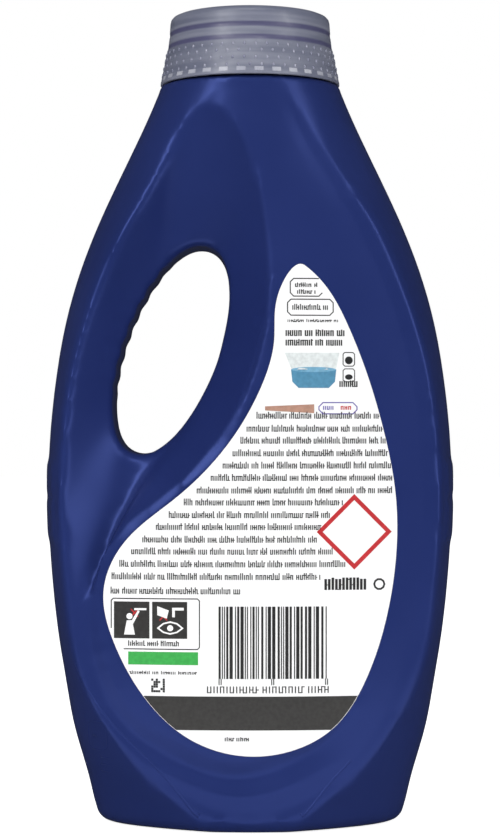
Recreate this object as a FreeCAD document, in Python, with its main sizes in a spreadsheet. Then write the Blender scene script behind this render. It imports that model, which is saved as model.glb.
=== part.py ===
import FreeCAD, Part

import math
import os

import Sketcher

# Laundry detergent bottle, about 900 ml, in millimetres.
# Z is up and the bottle stands on z = 0. X runs across the width, with the
# hand hole at -X. The label is on the -Y face. The origin is the middle of
# the foot.

V = FreeCAD.Vector

# Driving sizes
SIZES = [
    ("body_height", 224.0),
    ("body_width", 123.2),
    ("body_depth", 61.5),
    ("wall", 1.0),
    ("heel_round", 5.0),
    ("pushup_height", 4.0),
    ("pushup_margin", 9.0),
    ("ring_drop", 2.0),
    ("panel_depth", 1.3),
    ("bevel_slope", 0.45),
    ("grip_height", 63.0),
    ("grip_width", 29.8),
    ("grip_lean", 18.5),
    ("grip_rim", 26.0),
    ("pad_proud", 0.5),
    ("pad_foot", 86.5),
    ("pad_low_height", 11.5),
    ("pad_gap", 2.2),
    ("pad_high_height", 9.1),
    ("pad_half_depth", 19.0),
    ("neck_radius", 21.6),
    ("neck_wall", 1.4),
    ("neck_height", 9.0),
    ("label_thickness", 0.2),
    ("spout_flange", 1.2),
    ("spout_wall", 1.2),
    ("spout_depth", 12.0),
    ("spout_bore", 9.0),
    ("spout_rise", 8.0),
    ("spout_fit", 0.1),
    ("lip_drop", 5.0),
    ("drain_slot", 5.0),
    ("cap_height", 20.7),
    ("cap_low_radius", 27.35),
    ("cap_waist_radius", 24.9),
    ("cap_waist_height", 12.4),
    ("cap_top_radius", 24.3),
    ("cap_edge", 1.6),
    ("cap_wall", 1.2),
    ("cap_seat", 0.3),
    ("skirt_radius", 23.2),
    ("skirt_wall", 1.0),
    ("skirt_foot", 0.8),
    ("skirt_root", 8.2),
    ("seal_radius", 19.2),
    ("seal_wall", 1.0),
    ("lug_width", 2.6),
    ("lug_height", 2.4),
    ("lug_count", 32),
]

# Side outline: share of the height, share of the half width
SILHOUETTE = [
    (0.022, 0.765), (0.067, 0.806), (0.13, 0.871), (0.20, 0.916), (0.295, 0.966),
    (0.38, 0.990), (0.46, 1.0), (0.56, 0.977), (0.655, 0.929), (0.735, 0.855),
    (0.80, 0.768), (0.86, 0.670), (0.915, 0.574), (0.96, 0.498), (1.0, 0.439),
]
# Crest of the ring, and below it the corner crease: share of the half width
CORNER = [
    (0.022, 0.25), (0.036, 0.306), (0.076, 0.473), (0.13, 0.637), (0.188, 0.768),
    (0.25, 0.845), (0.36, 0.893), (0.44, 0.911), (0.52, 0.895), (0.61, 0.853),
    (0.685, 0.774), (0.76, 0.666), (0.82, 0.556), (0.875, 0.428), (0.93, 0.345),
    (1.0, 0.3102),
]
# Depth at the corner, and at the middle of the front: share of the half depth
CORNER_DEPTH = [(0.022, 0.855), (0.20, 0.825), (0.5, 0.80), (0.8, 0.80), (0.93, 0.71), (1.0, 0.597)]
BELLY_DEPTH = [(0.022, 0.875), (0.08, 0.925), (0.25, 1.0), (0.6, 1.0), (0.85, 0.935), (1.0, 0.8443)]
# How full the curves are between the corners
FULLNESS = [(0.022, 0.30), (0.8, 0.35), (1.0, 0.448)]
# How much of the panel's depth is left near the shoulder
FADE = [(0.0, 1.0), (0.8, 1.0), (0.9, 0.55), (1.0, 0.08)]
STATIONS = [
    0.05, 0.085, 0.13, 0.19, 0.25, 0.33, 0.42, 0.51, 0.60, 0.68, 0.75,
    0.81, 0.87, 0.92, 0.96, 1.0,
]

# Ring seen from the front, right half: crest x, crest z, valley x, valley z
RING = [
    (0.0, 0.985, 0.0, 0.967), (0.34, 0.935, 0.20, 0.905), (0.57, 0.812, 0.445, 0.811),
    (0.77, 0.687, 0.69, 0.687), (0.892, 0.53, 0.852, 0.532), (0.908, 0.42, 0.86, 0.42),
    (0.84, 0.27, 0.745, 0.27), (0.69, 0.165, 0.575, 0.18), (0.43, 0.085, 0.34, 0.122),
    (0.0, 0.05, 0.0, 0.085),
]
# Edge of the hand recess, anticlockwise from the right of the hole: share of the half width,
# share of the height, 1 where it cuts the sunk panel, bevel width beside it
RECESS = [
    (0.059, 0.644, 1, 0.0), (0.090, 0.705, 1, 0.0), (0.084, 0.781, 1, 0.0), (0.016, 0.884, 0.7, 0.0),
    (-0.113, 0.951, 0.3, 0.0), (-0.274, 0.953, 0, 0.0), (-0.445, 0.873, 0, 0.0), (-0.68, 0.757, 0, 0.0),
    (-0.80, 0.667, 0, 0.0), (-0.873, 0.585, 0, 0.0), (-0.908, 0.491, 0, 0.0), (-0.912, 0.393, 0, 0.0),
    (-0.815, 0.280, 0.5, 1.5), (-0.715, 0.360, 1, 3.0), (-0.510, 0.430, 1, 4.3), (-0.158, 0.520, 1, 3.5),
]
# Bevel round the label panel, from the hand recess round the foot of the panel:
# share of the half width, share of the height, bevel width, distance to the crest
BEVEL = [
    (0.075, 0.67, 0.6, 4.0), (0.012, 0.608, 1.2, 7.0), (-0.111, 0.512, 3.4, 9.0), (-0.347, 0.449, 4.4, 10.0),
    (-0.603, 0.386, 3.4, 9.0), (-0.700, 0.335, 2.4, 9.0), (-0.724, 0.27, 3.0, 7.6), (-0.65, 0.199, 4.0, 8.2),
    (-0.471, 0.142, 5.0, 9.0), (-0.065, 0.100, 5.5, 11.0), (0.334, 0.140, 4.0, 11.0), (0.56, 0.19, 1.0, 9.0),
]
# Middle of the hand hole: share of the half width, share of the height
GRIP_MIDDLE = (-0.3855, 0.6393)
# The bevel falls to the right of its line as the line is listed
BEVEL_SIDE = -1
# Sideways part of the wall's thickness on a slope of about 45 degrees
MITRE = 0.414
# How far the cutting forms run past the surfaces that they cut
BEYOND = 2.0
UNDER = 3.0
# Run of the push-up's wall below and above the foot
PUSHUP_FLARE = 1.0
PUSHUP_DRAFT = 6.0
# Label outline: share of the half width, share of the height
LABEL = [
    (0.262, 0.748), (0.37, 0.718), (0.47, 0.668), (0.56, 0.605), (0.64, 0.53),
    (0.695, 0.45), (0.70, 0.375), (0.655, 0.29), (0.55, 0.203), (0.40, 0.142),
    (0.20, 0.112), (-0.06, 0.106), (-0.30, 0.129), (-0.50, 0.18), (-0.645, 0.25),
    (-0.70, 0.32), (-0.60, 0.385), (-0.36, 0.442), (-0.13, 0.505), (0.03, 0.575),
    (0.115, 0.65), (0.15, 0.722),
]


doc = FreeCAD.newDocument("Bottle")
sheet = doc.addObject("Spreadsheet::Sheet", "Sizes")
for row, (alias, number) in enumerate(SIZES, 1):
    sheet.set("A%d" % row, alias)
    sheet.set("B%d" % row, str(number))
    sheet.setAlias("B%d" % row, alias)
doc.recompute()


def size(name):
    """A driving size from the sheet."""
    return float(sheet.get(name))


HEIGHT = size("body_height")
HALF_WIDTH = size("body_width") / 2
HALF_DEPTH = size("body_depth") / 2
WALL = size("wall")
HEEL = size("heel_round") / HEIGHT


def slope_at(points, number):
    """Slope of a profile at one of its points, flat where it turns back."""
    before = points[max(number - 1, 0)]
    here = points[number]
    after = points[min(number + 1, len(points) - 1)]
    if before == here or after == here:
        return (after[1] - before[1]) / (after[0] - before[0])
    rise_in = (here[1] - before[1]) / (here[0] - before[0])
    rise_out = (after[1] - here[1]) / (after[0] - here[0])
    if rise_in * rise_out <= 0:
        return 0.0
    return 2 * rise_in * rise_out / (rise_in + rise_out)


def read(points, share):
    """Smooth value of a profile at a share of the height."""
    share = min(max(share, points[0][0]), points[-1][0])
    number = 0
    while number < len(points) - 2 and share > points[number + 1][0]:
        number += 1
    low, high = points[number], points[number + 1]
    span = high[0] - low[0]
    part = (share - low[0]) / span
    rise_low = slope_at(points, number) * span
    rise_high = slope_at(points, number + 1) * span
    return (
        low[1] * (1 + 2 * part) * (1 - part) ** 2
        + rise_low * part * (1 - part) ** 2
        + high[1] * part ** 2 * (3 - 2 * part)
        - rise_high * part ** 2 * (1 - part)
    )


def corners(share, inset):
    """Reach of the outline at a share of the height: side, corner x, corner y, belly."""
    return (
        read(SILHOUETTE, share) * HALF_WIDTH - inset,
        read(CORNER, share) * HALF_WIDTH - inset,
        read(CORNER_DEPTH, share) * HALF_DEPTH - inset,
        read(BELLY_DEPTH, share) * HALF_DEPTH - inset,
    )


def section(share, inset, level=None):
    """Closed outline of the body at a share of its height, drawn in by inset."""
    side, corner_x, corner_y, belly = corners(share, inset)
    full = read(FULLNESS, share)
    z = share * HEIGHT if level is None else level
    pull_x = (4 * side - corner_x) / 3
    pull_y = (4 * belly - corner_y) / 3
    right = [(corner_x, -corner_y), (pull_x, -full * corner_y), (pull_x, full * corner_y), (corner_x, corner_y)]
    back = [(corner_x, corner_y), (full * corner_x, pull_y), (-full * corner_x, pull_y), (-corner_x, corner_y)]
    left = [(-x, -y) for x, y in right]
    front = [(-x, -y) for x, y in back]
    edges = []
    for poles in (right, back, left, front):
        curve = Part.BezierCurve()
        curve.setPoles([V(x, y, z) for x, y in poles])
        edges.append(curve.toShape())
    return Part.Wire(edges)


def front_depth(x, share, inset=0.0):
    """Distance from the middle plane to the front at a place given by x and a share of the height."""
    side, corner_x, corner_y, belly = corners(share, inset)
    pull_x = read(FULLNESS, share) * corner_x
    pull_y = (4 * belly - corner_y) / 3
    low, high = 0.0, 1.0
    for _ in range(30):
        turn = (low + high) / 2
        back = 1 - turn
        reach = corner_x * (back ** 3 - turn ** 3) + 3 * pull_x * back * turn * (back - turn)
        if reach > x:
            low = turn
        else:
            high = turn
    return corner_y * (back ** 3 + turn ** 3) + 3 * pull_y * back * turn


def profile(name, wire):
    """Wire kept in the document as a section for a loft."""
    made = doc.addObject("Part::Feature", name)
    made.Shape = wire
    return made


def loft(name, wires, ruled=False):
    """Solid loft through the wires."""
    made = doc.addObject("Part::Loft", name)
    made.Sections = [profile("%s_section_%d" % (name, number), wire) for number, wire in enumerate(wires)]
    made.Solid = True
    made.Ruled = ruled
    return made


def cut(name, base, tool):
    made = doc.addObject("Part::Cut", name)
    made.Base = base
    made.Tool = tool
    return made


def common(name, shapes):
    made = doc.addObject("Part::MultiCommon", name)
    made.Shapes = shapes
    return made


def fuse(name, shapes):
    made = doc.addObject("Part::MultiFuse", name)
    made.Shapes = shapes
    return made


def body_form(name, inset, faded=0.0):
    """The plain body from the heel to the shoulder, drawn in all round."""
    wires = []
    for share in [HEEL] + STATIONS:
        level = min(share * HEIGHT, HEIGHT - inset)
        wires.append(section(share, inset + faded * read(FADE, share), level))
    return loft(name, wires)


def heel_form(name, inset):
    """The rounded heel below the body."""
    radius = size("heel_round")
    wires = []
    for angle in (0, 30, 60, 90):
        turn = math.radians(angle)
        level = radius - (radius - inset) * math.sin(turn)
        drawn_in = radius - (radius - inset) * math.cos(turn)
        wires.append(section(HEEL, drawn_in, level))
    return loft(name, wires, ruled=True)


def spacing(points):
    """Running length round a closed loop, one value more than it has points."""
    marks = [0.0]
    for number in range(len(points)):
        here, after = points[number], points[(number + 1) % len(points)]
        marks.append(marks[-1] + math.dist(here, after))
    return marks


def loop(points, y, marks=None):
    """Smooth closed curve through points given as x and z."""
    curve = Part.BSplineCurve()
    places = [V(x, y, z) for x, z in points]
    curve.interpolate(Points=places, Parameters=marks or spacing(points), PeriodicFlag=True)
    return Part.Wire([curve.toShape()])


def sloped_wall(name, upper, lower, side, top, foot):
    """Funnel through an upper and a lower loop of x, depth and z, carried on to two levels."""
    marks = spacing([((u[0] + w[0]) / 2, (u[2] + w[2]) / 2) for u, w in zip(upper, lower)])
    wires = []
    for level in (top, foot):
        points = []
        for u, w in zip(upper, lower):
            share = (level - w[1]) / (u[1] - w[1])
            points.append((w[0] + (u[0] - w[0]) * share, w[2] + (u[2] - w[2]) * share))
        wires.append(loop(points, side * level, marks))
    return loft(name, wires, ruled=True)


def offset_points(points, distance):
    """Points of a clockwise or anticlockwise loop moved outwards."""
    count = len(points)
    moved = []
    for number, (x, z) in enumerate(points):
        before = points[number - 1]
        after = points[(number + 1) % count]
        along = V(after[0] - before[0], 0, after[1] - before[1]).normalize()
        outward = V(along.z, 0, -along.x)
        if turning(points) < 0:
            outward = outward * -1
        moved.append((x + outward.x * distance, z + outward.z * distance))
    return moved


def turning(points):
    """Signed area of a loop: positive where it runs anticlockwise."""
    area = 0
    for number, (x, z) in enumerate(points):
        before = points[number - 1]
        area += before[0] * z - x * before[1]
    return area


def ring_funnel(name, side, grow):
    """Sloping wall from the crest of the ring down to the valley."""
    crest = [(x * HALF_WIDTH, z * HEIGHT) for x, z, _, _ in RING]
    valley = [(x * HALF_WIDTH, z * HEIGHT) for _, _, x, z in RING]
    crest += [(-x, z) for x, z in crest[-2:0:-1]]
    valley += [(-x, z) for x, z in valley[-2:0:-1]]
    crest_y = read(CORNER_DEPTH, 0.5) * HALF_DEPTH - grow
    valley_y = crest_y - size("ring_drop")
    upper = [(x, crest_y, z) for x, z in offset_points(crest, MITRE * grow)]
    lower = [(x, valley_y, z) for x, z in offset_points(valley, MITRE * grow)]
    return sloped_wall(name, upper, lower, side, HALF_DEPTH + BEYOND, valley_y - UNDER)


def groove(name, side, grow):
    """Bevel round the label panel and the valley between it and the ring."""
    points = [(x * HALF_WIDTH, z * HEIGHT) for x, z, _, _ in BEVEL]
    wires = []
    for number, (x, z) in enumerate(points):
        before = points[max(number - 1, 0)]
        after = points[min(number + 1, len(points) - 1)]
        along = V(after[0] - before[0], 0, after[1] - before[1]).normalize()
        outward = V(along.z, 0, -along.x) * BEVEL_SIDE
        width, reach = BEVEL[number][2], BEVEL[number][3]
        top = V(x, 0, z)
        share = z / HEIGHT
        edge_y = front_depth(x, share, size("panel_depth")) - grow
        valley = top + outward * width
        far = top + outward * reach
        far_y = max(front_depth(far.x, far.z / HEIGHT) - grow, edge_y)
        drop = size("bevel_slope") * width
        rise = (far_y - edge_y + drop) / (reach - width)
        outline = [
            V(0, edge_y + UNDER, 0) + top - outward * (UNDER / size("bevel_slope")),
            V(0, edge_y - drop, 0) + valley,
            V(0, far_y + UNDER, 0) + far + outward * (UNDER / rise),
        ]
        outline = [V(place.x, side * place.y, place.z) for place in outline]
        wires.append(Part.makePolygon(outline + outline[:1]))
    return loft(name, wires)


def grip_points(grow):
    """Outline of the hand hole: a leaning ellipse."""
    points = []
    for step in range(len(RECESS)):
        turn = 2 * math.pi * step / len(RECESS)
        half_width = size("grip_width") / 2 + grow
        half_height = size("grip_height") / 2 + grow
        x = size("grip_lean") / 2 * math.sin(turn) + half_width * math.cos(turn) + GRIP_MIDDLE[0] * HALF_WIDTH
        z = half_height * math.sin(turn) + GRIP_MIDDLE[1] * HEIGHT
        points.append((x, z))
    return points


def recess_funnel(name, side, grow):
    """Hand recess from its edge on the front down to the rim of the hole."""
    edge = [(x * HALF_WIDTH, z * HEIGHT) for x, z, _, _ in RECESS]
    depths = [
        front_depth(x * HALF_WIDTH, z, panel * size("panel_depth")) - drop * size("bevel_slope")
        for x, z, panel, drop in RECESS
    ]
    edge = offset_points(edge, MITRE * grow)
    rim_y = size("grip_rim") / 2 - MITRE * grow
    upper = [(x, depth - grow, z) for (x, z), depth in zip(edge, depths)]
    lower = [(x, rim_y, z) for x, z in grip_points(grow)]
    return sloped_wall(name, upper, lower, side, HALF_DEPTH + BEYOND, rim_y - UNDER)


def hole_prism(name, grow):
    """The hand hole right through the bottle."""
    far = HALF_DEPTH + BEYOND
    wires = [loop(grip_points(grow), -far), loop(grip_points(grow), far)]
    return loft(name, wires, ruled=True)


def pushup_form(name, grow):
    """Shallow dome that the foot stands round."""
    margin = size("pushup_margin") - grow
    height = size("pushup_height") + grow
    wires = [
        section(HEEL, margin - PUSHUP_FLARE, grow - 1.0),
        section(HEEL, margin + PUSHUP_DRAFT, height),
    ]
    return loft(name, wires, ruled=True)


def cylinder(name, radius, low, height):
    """Upright cylinder whose radius, foot and height are sheet expressions."""
    made = doc.addObject("Part::Cylinder", name)
    made.setExpression("Radius", radius)
    made.setExpression("Placement.Base.z", low)
    made.setExpression("Height", height)
    return made


def grip_pads():
    """Raised pads on both sides of the bottle, two to a side."""
    proud = body_form("pad_skin", -size("pad_proud"))
    levels = (("low", "Sizes.pad_foot", "Sizes.pad_low_height"),
              ("high", "Sizes.pad_foot + Sizes.pad_low_height + Sizes.pad_gap", "Sizes.pad_high_height"))
    boxes = []
    for word, foot, height in levels:
        box = doc.addObject("Part::Box", "pad_box_" + word)
        box.setExpression("Length", "Sizes.body_width + 4 * Sizes.pad_proud")
        box.setExpression("Width", "2 * Sizes.pad_half_depth")
        box.setExpression("Height", height)
        box.setExpression("Placement.Base.x", "-Sizes.body_width / 2 - 2 * Sizes.pad_proud")
        box.setExpression("Placement.Base.y", "-Sizes.pad_half_depth")
        box.setExpression("Placement.Base.z", foot)
        boxes.append(common("pad_" + word, [box, proud]))
    return boxes


def relief(name, grow):
    """All that is hollowed out of the plain body, front and back."""
    panel = body_form(name + "_panel", grow, size("panel_depth"))
    pieces = []
    for side, word in ((-1, "front"), (1, "back")):
        funnel = ring_funnel("%s_ring_%s" % (name, word), side, grow)
        pieces.append(cut("%s_pan_%s" % (name, word), funnel, panel))
        pieces.append(recess_funnel("%s_recess_%s" % (name, word), side, grow))
    pieces.append(hole_prism(name + "_hole", grow))
    for side, word in ((-1, "front"), (1, "back")):
        pieces.append(groove("%s_groove_%s" % (name, word), side, grow))
    pieces.append(pushup_form(name + "_pushup", grow))
    return pieces


def without(form, pieces):
    """The form less each of the pieces, one after another."""
    for piece in pieces:
        form = cut("%s_less_%s" % (form.Name.split("_")[0], piece.Name), form, piece)
    return form


def mouth_face(shape):
    """The flat disc at the top of the neck."""
    return max(shape.Faces, key=lambda face: face.CenterOfMass.z)


def bottle():
    """Blow-moulded shell: the outer skin and the inner skin meet round the mouth."""
    outer = fuse("outer_form", [body_form("outer_body", 0.0), heel_form("outer_heel", 0.0), *grip_pads()])
    neck = cylinder("neck", "Sizes.neck_radius", "Sizes.body_height - Sizes.wall",
                    "Sizes.neck_height + Sizes.wall")
    outer = fuse("outer_skin", [without(outer, relief("outside", 0.0)), neck])

    inner = fuse("inner_form", [body_form("inner_body", WALL), heel_form("inner_heel", WALL)])
    bore = cylinder("neck_bore", "Sizes.neck_radius - Sizes.neck_wall",
                    "Sizes.body_height - 4 * Sizes.wall", "Sizes.neck_height + 4 * Sizes.wall")
    inner = fuse("inner_skin", [without(inner, relief("inside", WALL)), bore])
    doc.recompute()

    skins = []
    for skin in (outer.Shape, inner.Shape):
        skins += [face for face in skin.Faces if not face.isSame(mouth_face(skin))]
    rims = [mouth_face(skin.Shape).OuterWire for skin in (outer, inner)]
    shell = Part.Shell(skins + [Part.makeFace(rims, "Part::FaceMakerBullseye")])
    shell.sewShape()
    solid = Part.Solid(shell)
    if solid.Volume < 0:
        solid.reverse()
    made = doc.addObject("Part::Feature", "bottle")
    made.Shape = solid
    made.Placement = FreeCAD.Placement()
    made.Label = "bottle"
    return made


def back_label():
    """Film label on the front panel."""
    panel_depth = size("panel_depth")
    film = size("label_thickness")
    outline = [(x * HALF_WIDTH, z * HEIGHT) for x, z in LABEL]
    prism = loft("label_prism", [loop(outline, -HALF_DEPTH - 2.0), loop(outline, -HALF_DEPTH / 2)], ruled=True)
    top = body_form("label_top", -film, panel_depth)
    under = body_form("label_under", 0.0, panel_depth)
    made = cut("back_label", common("label_block", [prism, top]), under)
    made.Label = "back_label"
    return made


def total(*names):
    """Sum of sheet sizes, as an expression and as a number. A minus sign takes one away."""
    words = []
    number = 0.0
    for name in names:
        sign = "-" if name.startswith("-") else "+"
        plain = name.lstrip("-")
        number += -size(plain) if sign == "-" else size(plain)
        words.append("%s Sizes.%s" % (sign, plain))
    return " ".join(words).removeprefix("+ "), number


def outline_sketch(body, name, corners):
    """Closed outline in the body's XZ plane; each corner is an x and a z made by total."""
    sketch = body.newObject("Sketcher::SketchObject", name)
    plane = next(item for item in body.Origin.OriginFeatures if item.Role == "XZ_Plane")
    sketch.AttachmentSupport = [(plane, "")]
    sketch.MapMode = "FlatFace"
    places = [V(x[1], z[1], 0) for x, z in corners]
    count = len(corners)
    for number in range(count):
        sketch.addGeometry(Part.LineSegment(places[number], places[(number + 1) % count]), False)
    for number in range(count):
        sketch.addConstraint(Sketcher.Constraint("Coincident", number, 2, (number + 1) % count, 1))
    for number, corner in enumerate(corners):
        for kind, (words, value) in zip(("DistanceX", "DistanceY"), corner):
            if not words:
                sketch.addConstraint(Sketcher.Constraint("PointOnObject", number, 1, -2))
                continue
            place = sketch.addConstraint(Sketcher.Constraint(kind, -1, 1, number, 1, value))
            sketch.setExpression("Constraints[%d]" % place, words)
    return sketch


def axis_of(body):
    return next(item for item in body.Origin.OriginFeatures if item.Role == "Z_Axis")


AXIS = ("", 0.0)


def revolved_body(name, corners):
    """Body with one outline turned about the bottle's upright axis."""
    body = doc.addObject("PartDesign::Body", name)
    body.Label = name
    sketch = outline_sketch(body, name + "_profile", corners)
    turned = body.newObject("PartDesign::Revolution", name + "_turned")
    turned.Profile = sketch
    turned.ReferenceAxis = (sketch, ["V_Axis"])
    turned.Angle = 360
    doc.recompute()
    return body


def pour_spout():
    """Drain-back spout: a flange on the neck, a plug wall, a floor and the spout tube."""
    top = total("body_height", "neck_height", "spout_flange")
    seat = total("body_height", "neck_height")
    foot = total("body_height", "neck_height", "-spout_depth")
    floor = total("body_height", "neck_height", "-spout_depth", "spout_wall")
    tip = total("body_height", "neck_height", "spout_flange", "spout_rise")
    plug = ("neck_radius", "-neck_wall", "-spout_fit")
    body = revolved_body("pour_spout", [
        (total("neck_radius", "-spout_fit"), top),
        (total("neck_radius", "-spout_fit"), seat),
        (total(*plug), seat),
        (total(*plug), foot),
        (total("spout_bore"), foot),
        (total("spout_bore"), tip),
        (total("spout_bore", "spout_wall"), tip),
        (total("spout_bore", "spout_wall"), floor),
        (total(*plug, "-spout_wall"), floor),
        (total(*plug, "-spout_wall"), top),
    ])
    low_tip = total("body_height", "neck_height", "spout_flange", "spout_rise", "-lip_drop")
    beyond = total("body_height", "neck_height", "spout_flange", "spout_rise", "spout_wall")
    lip = outline_sketch(body, "lip_cut", [
        (total("spout_bore", "spout_wall"), tip),
        (total("spout_bore", "spout_wall"), beyond),
        (total("-spout_bore", "-spout_wall", "-spout_wall"), beyond),
        (total("-spout_bore", "-spout_wall", "-spout_wall"), low_tip),
    ])
    pocket_through(body, "slanted_lip", lip)
    slot_top = total("body_height", "neck_height", "-spout_depth", "spout_wall", "drain_slot")
    below = total("body_height", "neck_height", "-spout_depth", "-spout_wall")
    slot = outline_sketch(body, "drain_cut", [
        (total("-spout_bore", "spout_wall"), slot_top),
        (total("-spout_bore", "spout_wall"), below),
        (total("-spout_bore", "-drain_slot"), below),
        (total("-spout_bore", "-drain_slot"), slot_top),
    ])
    pocket_through(body, "drain_opening", slot, "Sizes.drain_slot")
    return body


def pocket_through(body, name, sketch, length=None):
    """Cut equally to both sides of the sketch: right through, or a given length."""
    pocket = body.newObject("PartDesign::Pocket", name)
    pocket.Profile = sketch
    pocket.Midplane = True
    if length:
        pocket.setExpression("Length", length)
    else:
        pocket.Type = "ThroughAll"
    doc.recompute()
    return pocket


def dosing_cap():
    """Screw cap and measuring cup: flared skirt, inner skirt, seal ring and lugs."""
    base = ("body_height", "cap_seat")
    top = total(*base, "cap_height")
    ceiling = total(*base, "cap_height", "-cap_wall")
    foot = total(*base)
    seal_foot = total("body_height", "neck_height", "spout_flange", "cap_seat")
    skirt_foot = total(*base, "skirt_foot")
    skirt_root = total(*base, "skirt_root")
    body = revolved_body("dosing_cap", [
        (AXIS, top),
        (total("cap_top_radius", "-cap_edge"), top),
        (total("cap_top_radius"), total(*base, "cap_height", "-cap_edge")),
        (total("cap_waist_radius"), total(*base, "cap_waist_height")),
        (total("cap_low_radius"), foot),
        (total("cap_low_radius", "-cap_wall"), foot),
        (total("skirt_radius", "skirt_wall", "cap_seat"), skirt_root),
        (total("skirt_radius", "skirt_wall"), skirt_root),
        (total("skirt_radius", "skirt_wall"), skirt_foot),
        (total("skirt_radius"), skirt_foot),
        (total("skirt_radius"), ceiling),
        (total("seal_radius", "seal_wall"), ceiling),
        (total("seal_radius", "seal_wall"), seal_foot),
        (total("seal_radius"), seal_foot),
        (total("seal_radius"), ceiling),
        (AXIS, ceiling),
    ])
    lug_top = total(*base, "skirt_foot", "lug_height")
    inner = total("skirt_radius", "skirt_wall", "-cap_seat")
    outer = total("cap_low_radius", "-cap_wall", "cap_seat")
    lug = outline_sketch(body, "lug_profile", [
        (inner, skirt_foot), (outer, skirt_foot), (outer, lug_top), (inner, lug_top),
    ])
    pad = body.newObject("PartDesign::Pad", "lug")
    pad.Profile = lug
    pad.Midplane = True
    pad.setExpression("Length", "Sizes.lug_width")
    doc.recompute()
    ring = body.newObject("PartDesign::PolarPattern", "lugs")
    ring.Originals = [pad]
    ring.Axis = (axis_of(body), [""])
    ring.Angle = 360
    ring.setExpression("Occurrences", "Sizes.lug_count")
    body.Tip = ring
    doc.recompute()
    return body


def write_parts(nodes):
    """Check every object, then write one file for each node."""
    for made in doc.Objects:
        if "Invalid" in made.State or "Error" in made.State:
            raise RuntimeError("%s: %s" % (made.Name, made.State))
    os.makedirs("parts", exist_ok=True)
    for node in nodes:
        if node.Shape.isNull() or not node.Shape.isValid():
            raise RuntimeError("%s has no valid shape" % node.Label)
    for node in nodes:
        node.Shape.exportStep("parts/%s.step" % node.Label)
        print("%s: %d solid, %.2f cm3" % (node.Label, len(node.Shape.Solids), node.Shape.Volume / 1000))


nodes = [bottle(), back_label(), pour_spout(), dosing_cap()]
doc.recompute()
print("inside: %.0f ml" % (doc.getObject("inner_skin").Shape.Volume / 1000))
write_parts(nodes)
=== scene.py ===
import math
import random

import bmesh
import bpy
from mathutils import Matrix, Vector
from mathutils.bvhtree import BVHTree
from mathutils.kdtree import KDTree


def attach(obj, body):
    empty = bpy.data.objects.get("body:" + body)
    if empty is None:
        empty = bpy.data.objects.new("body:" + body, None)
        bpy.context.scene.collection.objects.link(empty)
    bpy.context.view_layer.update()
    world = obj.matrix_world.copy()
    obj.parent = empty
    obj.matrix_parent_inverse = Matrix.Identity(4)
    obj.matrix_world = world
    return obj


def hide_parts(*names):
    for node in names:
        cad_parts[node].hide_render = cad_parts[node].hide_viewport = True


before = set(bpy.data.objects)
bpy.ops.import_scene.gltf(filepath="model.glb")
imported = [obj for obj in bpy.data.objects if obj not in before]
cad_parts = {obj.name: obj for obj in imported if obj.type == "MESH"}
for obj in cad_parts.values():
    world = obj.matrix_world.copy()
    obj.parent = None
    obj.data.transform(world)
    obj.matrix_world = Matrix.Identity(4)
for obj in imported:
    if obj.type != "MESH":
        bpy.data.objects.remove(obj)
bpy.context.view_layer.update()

# Laundry detergent bottle. The label faces -Y, the hand hole is at -X, and the
# bottle stands on z = 0. Lengths below are in millimetres unless they say otherwise.

MM = 0.001
NECK_TOP = 233.0
NECK_RADIUS = 21.6
OUTER_CELL = 1.1
INNER_CELL = 1.5
INNER_SHARE = 0.35
SOFT_REACH = 8.0
CRISP_FROM = 222.6
CRISP_FADE = 2.5
LABEL_SINK = 0.07
INK_RISE = 0.05
INK_THICKNESS = 0.08
PANEL_SINK = 0.42
BEVEL_SLOPE = 0.45
GRIP_X = -23.7
GRIP_Z = 143.2
GRIP_HALF_WIDTH = 14.9
GRIP_HALF_HEIGHT = 31.5
GRIP_LEAN = 18.5


# Edge of the label panel, from the hand recess round its foot: x, z, width of the bevel
# that falls away from it, distance to the crest beyond
PANEL_EDGE = [
    (4.6, 150.1, 0.6, 4.0), (0.7, 136.2, 1.2, 7.0), (-6.8, 114.7, 3.4, 9.0), (-21.4, 100.6, 4.4, 10.0),
    (-37.1, 86.5, 3.4, 9.0), (-43.1, 75.0, 2.4, 9.0), (-44.6, 60.5, 3.0, 7.6), (-40.0, 44.6, 4.0, 8.2),
    (-29.0, 31.8, 5.0, 9.0), (-4.0, 22.4, 5.5, 11.0), (20.6, 31.4, 4.0, 11.0), (34.5, 42.6, 1.0, 9.0),
]


# Small helpers

def only(obj):
    """Selects one object and makes it the active one."""
    if bpy.context.mode != "OBJECT":
        bpy.ops.object.mode_set(mode="OBJECT")
    bpy.ops.object.select_all(action="DESELECT")
    obj.hide_set(False)
    obj.select_set(True)
    bpy.context.view_layer.objects.active = obj


def copy_of(node, name):
    """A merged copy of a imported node, standing by itself at the origin."""
    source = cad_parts[node]
    only(source)
    bpy.ops.object.duplicate(linked=False)
    piece = bpy.context.view_layer.objects.active
    matrix = piece.matrix_world.copy()
    piece.parent = None
    piece.matrix_world = matrix
    piece.name = name
    piece.data.name = name
    piece.data.materials.clear()
    only(piece)
    bpy.ops.object.transform_apply(location=True, rotation=True, scale=True)
    bpy.ops.mesh.customdata_custom_splitnormals_clear()
    bpy.ops.object.mode_set(mode="EDIT")
    bpy.ops.mesh.select_all(action="SELECT")
    bpy.ops.mesh.remove_doubles(threshold=0.002 * MM)
    bpy.ops.object.mode_set(mode="OBJECT")
    return piece


def modify(obj, kind, **settings):
    """Adds a modifier, sets it and applies it."""
    only(obj)
    made = obj.modifiers.new(kind.title(), kind)
    for key, value in settings.items():
        setattr(made, key, value)
    bpy.ops.object.modifier_apply(modifier=made.name)


def shade_round(obj, degrees=None):
    """Smooth shading, with sharp edges above an angle where one is given."""
    only(obj)
    if degrees is None:
        bpy.ops.object.shade_smooth()
    else:
        bpy.ops.object.shade_smooth_by_angle(angle=math.radians(degrees))


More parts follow.
